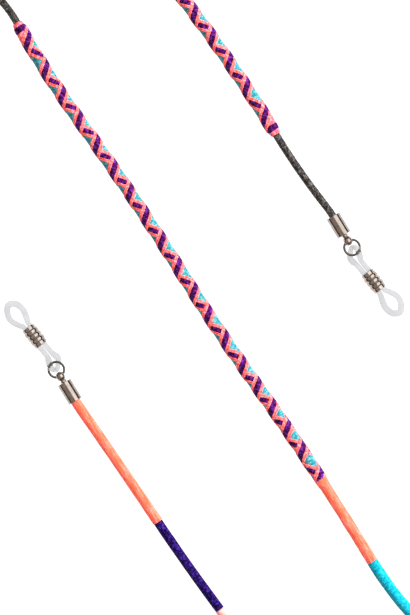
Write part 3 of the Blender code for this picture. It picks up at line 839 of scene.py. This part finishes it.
def cut_hole(piece, drill):
    """Take the drill out of the piece and remove the drill."""
    cut = piece.modifiers.new("hole", "BOOLEAN")
    cut.object = drill
    cut.solver = "EXACT"
    bpy.context.view_layer.update()
    ready = piece.evaluated_get(bpy.context.evaluated_depsgraph_get())
    mesh = bpy.data.meshes.new_from_object(ready)
    piece.modifiers.clear()
    piece.data = mesh
    bpy.data.objects.remove(drill)
    mesh.polygons.foreach_set("use_smooth", [True] * len(mesh.polygons))
    mesh.set_sharp_from_angle(angle=math.radians(35))
    return piece


def jump_ring(name, material):
    """Ring of round wire, cut square, its ends almost closed. Its centre is the origin."""
    first = RING_SPLIT_AT + RING_SPLIT / 2
    turn = np.radians(np.linspace(first, first + 360 - RING_SPLIT, 120))[:, None]
    wire = np.linspace(0, TURN, 24, endpoint=False)[None, :]
    radius = RING_R + RING_WIRE_R * np.sin(wire)
    rings = np.stack(
        [radius * np.cos(turn), radius * np.sin(turn), RING_WIRE_R * np.cos(wire) + 0 * turn],
        axis=-1,
    )
    shell = Shell()
    shell.add(rings[::-1], turn[::-1, 0] * RING_R, np.linspace(0, TURN * RING_WIRE_R, 25))
    return shell.piece(name, material)


def slide_bead(name, material):
    """Barrel with two flat collars and three rounded ribs, centred on the origin."""
    half = BEAD_LENGTH / 2
    shoulder = half - BEAD_COLLAR_LENGTH
    pitch = 2 * shoulder / BEAD_RIBS
    collar = [(BEAD_BORE_R, -half), (BEAD_COLLAR_R, -half), (BEAD_COLLAR_R, -shoulder)]
    collar = list(rounded(collar, EDGE * 0.8)[5:])
    outline = list(collar)
    for i in range(BEAD_RIBS):
        crown = -shoulder + pitch * (i + 0.5)
        for place in np.linspace(-0.47, 0.47, 15):
            bulge = math.sqrt(max(0.0, 1 - (place / 0.5) ** 2))
            outline.append((BEAD_GROOVE_R + (BEAD_RIB_R - BEAD_GROOVE_R) * bulge, crown + pitch * place))
    outline += [(radius, -along) for radius, along in reversed(collar)]
    outline += [(BEAD_BORE_R, half - 0.05), (BEAD_BORE_R, -half + 0.05)]
    shell = Shell()
    lathe(shell, np.array(outline, float), 72, looped=True)
    return shell.piece(name, material)


def rounded_path(controls, steps):
    """A closed Catmull-Rom path through the control points."""
    points = np.array(controls, float)
    before, after, beyond = np.roll(points, 1, 0), np.roll(points, -1, 0), np.roll(points, -2, 0)
    share = (np.arange(steps) / steps)[None, :, None]
    before, here, after, beyond = (p[:, None, :] for p in (before, points, after, beyond))
    path = (
        here
        + (after - before) * share / 2
        + (before * 2 - here * 5 + after * 4 - beyond) * share**2 / 2
        + (here * 3 - before - after * 3 + beyond) * share**3 / 2
    )
    return path.reshape(-1, points.shape[1])


def temple_loop(name, material):
    """Moulded band in one piece: small loop on the ring, two legs, big loop for the temple."""
    path = rounded_path(LOOP_TIP_SIDE + LOOP_RING_SIDE, BAND_STEPS)
    spots, size = path[:, :3] + np.array([0, BEAD_ACROSS, 0]), path[:, 3]
    ahead = np.roll(spots, -1, 0) - np.roll(spots, 1, 0)
    ahead /= np.linalg.norm(ahead, axis=1, keepdims=True)
    side = np.cross([0, 0, 1], ahead)
    side /= np.linalg.norm(side, axis=1, keepdims=True)
    top = np.cross(ahead, side)
    angle = np.linspace(0, TURN, BAND_SIDES, endpoint=False)
    across = np.sign(np.sin(angle)) * np.abs(np.sin(angle)) ** BAND_CORNERS * BAND_HALF_WIDTH
    upward = np.sign(np.cos(angle)) * np.abs(np.cos(angle)) ** BAND_CORNERS * BAND_HALF_HEIGHT
    rings = (
        spots[:, None, :]
        + side[:, None, :] * (across[None, :, None] * size[:, None, None])
        + top[:, None, :] * (upward[None, :, None] * size[:, None, None])
    )
    shell = Shell()
    length = np.arange(len(path)) * 0.2
    shell.add(rings, length, np.linspace(0, 5, BAND_SIDES + 1), looped=True)
    return shell.piece(name, material)


# -------------------- assembly


def joint(name):
    return next(found for found in frame["joints"] if found["name"] == name)


def joint_spot(name):
    return Vector(joint(name)["pos_m"])


def finish_piece(piece, slot, *nodes):
    """Hide the CAD nodes that a new piece stands for. Its material slot is not used."""
    if nodes:
        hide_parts(*nodes)


def set_frame(piece, origin, heading):
    """Bake a connector piece's own frame into its mesh. heading is a direction in the frame."""
    ahead = Vector(heading).normalized()
    side = Vector((0, 0, 1)).cross(ahead)
    turn = Matrix((ahead, side, (0, 0, 1))).transposed().to_4x4()
    piece.data.transform(Matrix.Translation(origin) @ turn)


def build_connector(side, satin, bright, dark, silicone):
    swivel = joint(f"{side}_eye_swivel")
    ahead = Vector(swivel["axis"])
    ball = Vector(swivel["pos_m"])
    ring = joint_spot(f"{side}_loop_swing")
    loop_ahead = -Vector(joint(f"{side}_bead_slide")["axis"])
    low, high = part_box(f"{side}_slide_bead")
    made = (
        (ferrule_cup(f"{side}_cup", satin), ball - ahead * BALL_OFFSET * MM, ahead, "end", "ferrule_cup"),
        (ball_eye(f"{side}_eye", bright), ball, ahead, "eye", "ball_eye"),
        (jump_ring(f"{side}_wire_ring", dark), ring, ahead, "ring", "jump_ring"),
        (slide_bead(f"{side}_ribbed_bead", bright), (low + high) / 2, loop_ahead, "bead", "slide_bead"),
        (temple_loop(f"{side}_clear_loop", silicone), ring, loop_ahead, "loop", "temple_loop"),
    )
    for piece, spot, heading, body, node in made:
        set_frame(piece, spot, heading)
        slot = "silicone_clear" if body == "loop" else "metal_nickel"
        finish_piece(piece, slot, f"{side}_{node}")
        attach(piece, f"{side}_{body}")


# For each flexing place: the bodies before and after it along the cord, its half-length, and how
# far its span is turned so that a strand that doubles back stays beyond its end.
FLEXES = {
    "left_strand_flex": ("left_end", "left_bend", 7.0, 0.0),
    "lower_bend_flex": ("left_bend", "lower_strand", 8.0, 13.0),
    "lower_strand_flex": ("lower_strand", "middle_strand", 6.0, 0.0),
    "upper_bend_flex": ("middle_strand", "upper_bend", 4.2, 0.0),
    "short_strand_flex": ("upper_bend", "short_strand", 3.2, 0.0),
    "right_strand_flex": ("short_strand", "right_end", 3.7, 0.0),
}


def bend_span(line, flex):
    """Where a flexing place starts and ends, in millimetres."""
    half, turn = FLEXES[flex][2:]
    start, end = line.centres(np.array([line.flex[flex] - half, line.flex[flex] + half]))
    cos, sin = math.cos(math.radians(turn)), math.sin(math.radians(turn))
    x, y, z = (end - start) / 2
    reach = np.array([x * cos - y * sin, x * sin + y * cos, z])
    return (start + end) / 2 - reach, (start + end) / 2 + reach


def bend_at(piece, line, flex):
    start, end = bend_span(line, flex)
    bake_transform(piece)


def build_cord(line, material):
    bare = (
        (line.woven_end - 0.3, line.short_start + 0.3),
        (line.short_end - 0.3, line.length + 0.4),
    )
    long_middle = (line.woven_start + line.woven_end) / 2
    bend_middle = (line.flex["upper_bend_flex"] + line.flex["short_strand_flex"]) / 2
    short_middle = (line.short_start + line.short_end) / 2
    lengths = (
        ("cord_left", -CORD_INSERT, line.purple_end, "left_strand_flex", ["core_left_end"]),
        ("cord_lower_bend", line.purple_end, line.teal_end, "lower_bend_flex", ["core_left_bend"]),
        ("cord_lower", line.teal_end, long_middle, "lower_strand_flex", ["core_lower"]),
        ("cord_upper", long_middle, bend_middle, "upper_bend_flex", ["core_middle", "core_upper_bend"]),
        ("cord_short", bend_middle, short_middle, "short_strand_flex", ["core_short"]),
        ("cord_right", short_middle, line.length + CORD_INSERT, "right_strand_flex", ["core_right_end"]),
    )
    braid = Braid()
    for name, first, last, flex, nodes in lengths:
        piece = braid.piece(line, name, first, last, bare, material)
        finish_piece(piece, "cord_charcoal", *nodes)
        bend_at(piece, line, flex)


CORAL_LAP = 0.5           # the middle coral winding runs on below the ribbons
CORAL_FLARE = 0.27        # and swells up to them
CORAL_FLARE_LENGTH = 2.5
BASE_LAP = 0.2            # the teal base runs this far below a whipping
RIBBON_STOP = 2.6         # where the short ribbons stop, inside the far whipping


def build_windings(line, looks):
    plain = Winding(thread=0.36, depth=0.07, lumps=0.025, seed=3)
    glossy = Winding(thread=0.34, depth=0.07, starts=2, lumps=0.02, seed=11)
    thick = Winding(thread=0.4, depth=0.08, starts=2, hand=-1, lumps=0.03, seed=23, sides=28)
    lumpy = Winding(thread=0.38, depth=0.07, lumps=0.05, seed=37, sides=28)

    def coral_middle(at):
        flare = smoothstep(line.woven_start - CORAL_FLARE_LENGTH, line.woven_start, at)
        return CORAL_MIDDLE_R - 0.02 + CORAL_FLARE * flare

    rows = (
        ("left_coral_winding", "coral", plain, -WRAP_INSERT, line.coral_left_end,
         lambda at: CORAL_LEFT_R + 0.02, "left_strand_flex", "coral_wrap_left"),
        ("purple_winding", "purple", glossy, line.coral_left_end, line.purple_end,
         lambda at: PURPLE_R, "left_strand_flex", "purple_wrap"),
        ("pink_winding", "pink", plain, line.purple_end, line.bend_middle,
         lambda at: PINK_R, "lower_bend_flex", "pink_wrap"),
        ("teal_winding", "teal", thick, line.bend_middle, line.teal_end,
         lambda at: TEAL_R - 0.02, "lower_bend_flex", "teal_wrap"),
        ("middle_coral_winding", "coral", lumpy, line.teal_end, line.woven_start + CORAL_LAP,
         coral_middle, "lower_strand_flex", "coral_wrap_middle"),
    )
    for name, colour, winding, first, last, radius, flex, node in rows:
        shell = Shell()
        winding.add(shell, line, first, last, radius)
        piece = shell.piece(name, looks[colour])
        finish_piece(piece, f"thread_{colour}", node)
        bend_at(piece, line, flex)


# Ends of the coral ring, purple ring and coral start, measured from the bare cord.
WHIP_ENDS = (0.0, 1.05, 2.65, 4.8)
WHIP_START_R = 1.2
WHIP_SWELL = 0.45
WHIP_TAPER = (-0.8, 2.2)


def whip_radius(depth):
    """Radius of a whipping at a distance from the bare cord."""
    return WHIP_START_R + WHIP_SWELL * smoothstep(*WHIP_TAPER, depth)


def build_whipping(line, label, edge, inward, looks, body):
    """The rings that bind one end of a woven length, from the bare cord inwards."""
    ring = Winding(thread=0.35, depth=0.07, lumps=0.03, seed=47, sides=28)
    slanted = Winding(thread=0.33, depth=0.06, starts=3, lumps=0.03, seed=53, sides=32)

    def radius(at):
        return whip_radius((at - edge) * inward)

    coral, purple = Shell(), Shell()
    for shell, winding, first, last, size in (
        (coral, ring, WHIP_ENDS[0], WHIP_ENDS[1], radius),
        (purple, slanted, WHIP_ENDS[1], WHIP_ENDS[2], lambda at: radius(at) + 0.06),
        (coral, ring, WHIP_ENDS[2], WHIP_ENDS[3], lambda at: radius(at) - 0.03),
    ):
        ends = sorted((edge + inward * first, edge + inward * last))
        winding.add(shell, line, *ends, size)
    for colour, shell in (("coral", coral), ("purple", purple)):
        piece = shell.piece(f"{label}_{colour}_whip", looks["whip" if colour == "coral" else "ribbon"])
        finish_piece(piece, f"thread_{colour}", f"{colour}_whipping_{label}")
        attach(piece, body)


def build_woven(line, looks):
    base = Winding(thread=0.36, depth=0.06, lumps=0.02, seed=61, sides=24)
    long_length = line.woven_end - line.woven_start
    short_length = line.short_end - line.short_start
    inset = WHIP_ENDS[-1] - BASE_LAP
    rows = (
        ("long", line.woven_end, long_length + Weave.OVERRUN, line.woven_start + BASE_LAP),
        ("short", line.short_end, short_length - RIBBON_STOP, line.short_start + inset),
    )
    for label, edge, last, base_first in rows:
        weave = Weave(line, edge, last)
        shell = Shell()
        base.add(shell, line, base_first, edge - inset, lambda at: WOVEN_BASE_R)
        made = (
            (shell.piece(f"{label}_base_winding", looks["base"]), "thread_teal", f"woven_base_{label}"),
            (weave.piece(f"{label}_purple_ribbons", "purple", looks["ribbon"]), "thread_purple",
             f"woven_ribbon_{label}"),
            (weave.piece(f"{label}_coral_edges", "coral", looks["edge"]), "thread_coral", None),
        )
        for piece, slot, node in made:
            finish_piece(piece, slot, *([node] if node else []))
            if label == "long":
                bend_at(piece, line, "lower_strand_flex")
            else:
                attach(piece, "short_strand")


def build_strap():
    left, right = joint_spot("left_eye_swivel"), joint_spot("right_eye_swivel")
    line = Centreline((left + right) / 2 / MM)
    looks = {thread: thread_look(*look) for thread, look in THREAD_LOOKS.items()}
    build_cord(line, cord_look())
    build_windings(line, looks)
    build_woven(line, looks)
    build_whipping(line, "long_top", line.woven_end, -1, looks, "middle_strand")
    build_whipping(line, "short_top", line.short_start, 1, looks, "short_strand")
    build_whipping(line, "short_end", line.short_end, -1, looks, "short_strand")
    connector = (
        metal_look("satin_nickel", 0.35, 0.13),
        metal_look("bright_nickel", 0.39, 0.1),
        metal_look("dark_nickel", 0.13, 0.2),
        silicone_look(),
    )
    for side in ("left", "right"):
        build_connector(side, *connector)
    return (left + right) / 2


# -------------------- stage

FLOOR_GLOW = 1.25
FLOOR_ALBEDO = 0.06
FLOOR_SIZE = 6.0          # metres
FLOOR_DROP = 0.05         # below the strap, so that the two don't flicker

LENS = 200.0
SENSOR = 36.0
VIEW_LENGTH = 153.75      # of the frame's long side on the table
VIEW_CENTRE = (0.2, 0.275)  # from the middle of the strap

LIGHT_AZIMUTH = 30.0
WORLD_LOW = 0.08
WORLD_HIGH = 0.52
WORLD_TINT = (1.0, 0.87, 0.79)


def build_floor():
    bpy.ops.mesh.primitive_plane_add(size=FLOOR_SIZE)
    table = bpy.context.object
    table.name = "pale_table_top"
    table.location.z = -FLOOR_DROP * MM
    table.data.materials.append(floor_look())


def build_camera(centre):
    data = bpy.data.cameras.new("camera")
    data.lens = LENS
    data.sensor_width = SENSOR
    data.clip_start, data.clip_end = 0.05, 20
    camera = bpy.data.objects.new("camera", data)
    bpy.context.scene.collection.objects.link(camera)
    distance = LENS / SENSOR * VIEW_LENGTH * MM
    camera.location = centre + Vector((VIEW_CENTRE[0] * MM, VIEW_CENTRE[1] * MM, distance))
    bpy.context.scene.camera = camera


def add_softbox(name, elevation, distance, size, power, azimuth=LIGHT_AZIMUTH, mirrored=True):
    """Softbox aimed at the strap, its width level. One that isn't mirrored leaves no highlights."""
    data = bpy.data.lights.new(name, "AREA")
    data.shape = "RECTANGLE"
    data.size, data.size_y = size
    data.energy = power
    light = bpy.data.objects.new(name, data)
    flat, rise = math.radians(azimuth), math.radians(elevation)
    away = Vector((math.cos(flat) * math.cos(rise), math.sin(flat) * math.cos(rise), math.sin(rise)))
    light.location = away * distance
    light.rotation_mode = "QUATERNION"
    light.rotation_quaternion = away.to_track_quat("Z", "Y")
    light.visible_glossy = light.visible_transmission = mirrored
    bpy.context.scene.collection.objects.link(light)


def build_world():
    """Studio surroundings: soft and grey above, dark near the horizon, white behind the strap."""
    world = bpy.data.worlds.new("studio")
    bpy.context.scene.world = world
    world.use_nodes = True
    nodes, links = world.node_tree.nodes, world.node_tree.links
    background = nodes["Background"]
    place = nodes.new("ShaderNodeTexCoord")
    split = nodes.new("ShaderNodeSeparateXYZ")
    links.new(place.outputs["Generated"], split.inputs[0])
    rise = nodes.new("ShaderNodeMapRange")
    rise.interpolation_type = "SMOOTHSTEP"
    links.new(split.outputs["Z"], rise.inputs["Value"])
    for socket, value in ((1, 0.3), (2, 0.62), (3, WORLD_LOW), (4, WORLD_HIGH)):
        rise.inputs[socket].default_value = value
    seen = nodes.new("ShaderNodeLightPath")
    choose = nodes.new("ShaderNodeMix")
    links.new(seen.outputs["Is Camera Ray"], choose.inputs[0])
    links.new(rise.outputs[0], choose.inputs[2])
    choose.inputs[3].default_value = 1.0
    background.inputs["Color"].default_value = (*WORLD_TINT, 1.0)
    links.new(choose.outputs[0], background.inputs["Strength"])


def build_stage(centre):
    build_floor()
    build_camera(centre)
    build_world()
    add_softbox("key", 35.0, 1.2, (0.5, 0.5), 44.0, mirrored=False)
    add_softbox("fill", 15.0, 1.2, (1.2, 0.5), 5.0, LIGHT_AZIMUTH + 180, mirrored=False)
    add_softbox("panel", 58.0, 1.0, (1.4, 1.02), 7.8)
    bpy.context.scene.view_settings.view_transform = "Standard"


build_stage(build_strap())
